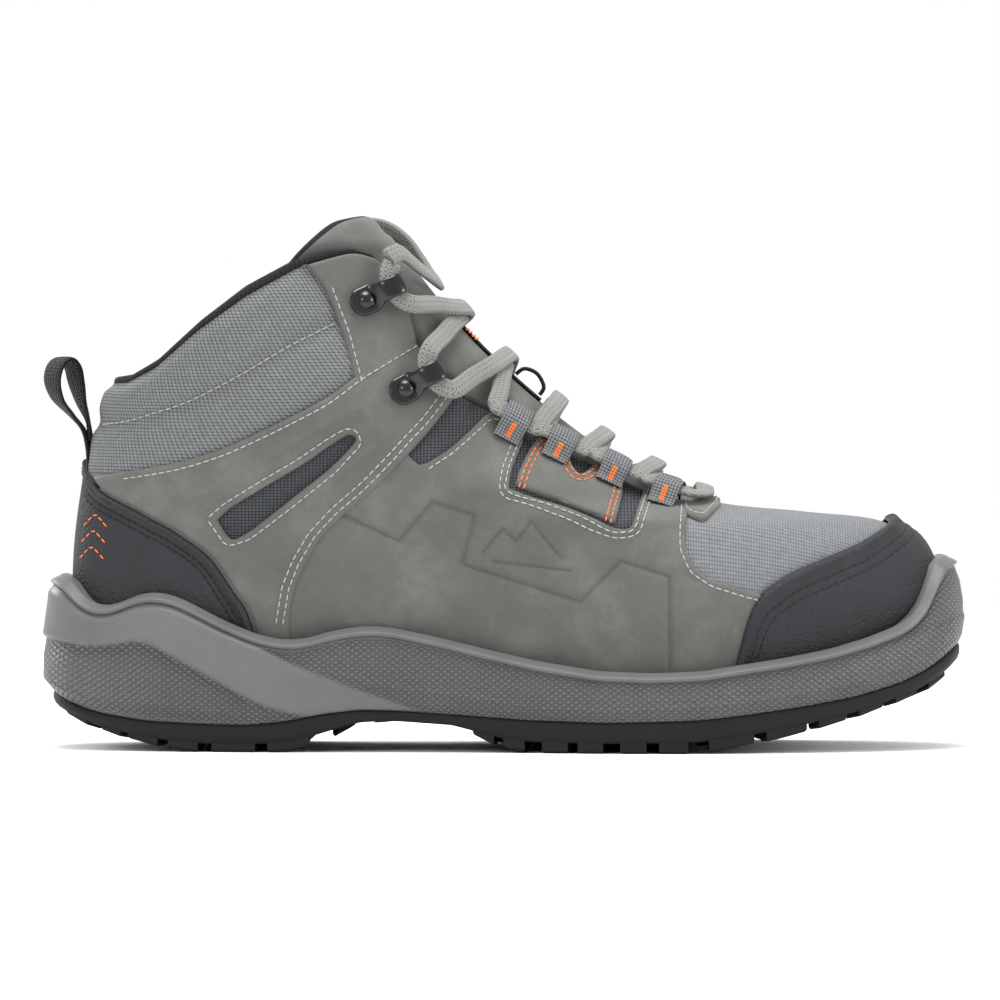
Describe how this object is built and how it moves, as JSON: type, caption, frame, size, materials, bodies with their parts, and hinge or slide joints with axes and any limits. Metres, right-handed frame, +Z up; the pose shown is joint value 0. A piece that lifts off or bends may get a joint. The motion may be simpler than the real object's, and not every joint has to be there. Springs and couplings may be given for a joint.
{
  "type": "hiking boot",
  "caption": "Mid-cut laced hiking boot for the right foot, with a padded collar, moulded heel and toe overlays and a lugged sole.",
  "frame": {"origin": "on the ground, under the middle of the boot's box", "axes": "+X towards the toe, +Y towards the inner (medial) side of this right boot, +Z up"},
  "size_m": [0.2996, 0.112, 0.1747],
  "materials": {
    "nubuck": "matt grey nubuck",
    "moulded_overlay": "finely pebbled charcoal",
    "vamp_textile": "fine grey weave",
    "collar_textile": "coarse grey weave",
    "mesh": "dark grey weave",
    "lining": "dark knit",
    "foam": "open foam",
    "stiffener": "plain",
    "board": "woven board",
    "footbed": "foam under a knit cover",
    "midsole": "satin grey foam skin",
    "outsole": "matt black",
    "hook_metal": "gloss black lacquer",
    "lace_loop": "speckled webbing",
    "lace": "flat grey braid",
    "aglet": "clear over grey braid",
    "webbing": "black ribbed webbing",
    "thread_grey": "grey sewing thread",
    "thread_black": "black sewing thread",
    "thread_orange": "orange sewing thread"
  },
  "bodies": {
    "boot": {"vamp": "vamp_textile", "collar_cover": "collar_textile", "quarter_mesh_lateral": "mesh", "quarter_mesh_medial": "mesh", "quarter_lateral": "nubuck", "quarter_medial": "nubuck", "ankle_overlay_lateral": "nubuck", "ankle_overlay_medial": "nubuck", "facing_lateral": "nubuck", "facing_medial": "nubuck", "eyestay_lateral": "nubuck", "eyestay_medial": "nubuck", "throat_patch": "nubuck", "heel_overlay": "moulded_overlay", "toe_overlay": "moulded_overlay", "tongue": "nubuck", "tongue_strip": "webbing", "lace_keeper": "webbing", "pull_loop_root": "webbing", "vamp_lining": "lining", "quarter_lining": "lining", "collar_foam": "foam", "toe_puff": "stiffener", "heel_counter": "stiffener", "lasting_board": "board", "shank": "stiffener", "footbed_front": "footbed", "midsole": "midsole", "outsole": "outsole", "hook_lateral_upper": "hook_metal", "hook_lateral_lower": "hook_metal", "hook_medial_upper": "hook_metal", "hook_medial_lower": "hook_metal", "rivet_lateral_upper": "hook_metal", "rivet_lateral_lower": "hook_metal", "rivet_medial_upper": "hook_metal", "rivet_medial_lower": "hook_metal", "lace_loop_lateral_1": "lace_loop", "lace_loop_lateral_2": "lace_loop", "lace_loop_lateral_3": "lace_loop", "lace_loop_lateral_4": "lace_loop", "lace_loop_medial_1": "lace_loop", "lace_loop_medial_2": "lace_loop", "lace_loop_medial_3": "lace_loop", "lace_loop_medial_4": "lace_loop", "lace": "lace", "lace_end_lateral": "lace", "lace_end_medial": "lace", "aglet_lateral": "aglet", "aglet_medial": "aglet"},
    "tongue_tip": {"tongue_tip": "nubuck"},
    "pull_loop": {"pull_loop": "webbing"},
    "footbed_heel": {"footbed_heel": "footbed"}
  },
  "joints": [
    {"name": "tongue_fold", "type": "hinge", "parent": "boot", "child": "tongue_tip", "pos_m": [-0.0255, 0, 0.1512], "axis": [0, 1, 0], "range_deg": [0, 24], "stiffness_Nm_per_rad": 0.05},
    {"name": "pull_loop_swing", "type": "hinge", "parent": "boot", "child": "pull_loop", "pos_m": [-0.1342, 0, 0.1024], "axis": [0, 1, 0], "range_deg": [-35, 4], "stiffness_Nm_per_rad": 0.01},
    {"name": "footbed_lift", "type": "hinge", "parent": "boot", "child": "footbed_heel", "pos_m": [0.04, 0, 0.0283], "axis": [0, 1, 0], "range_deg": [0, 9]}
  ]
}
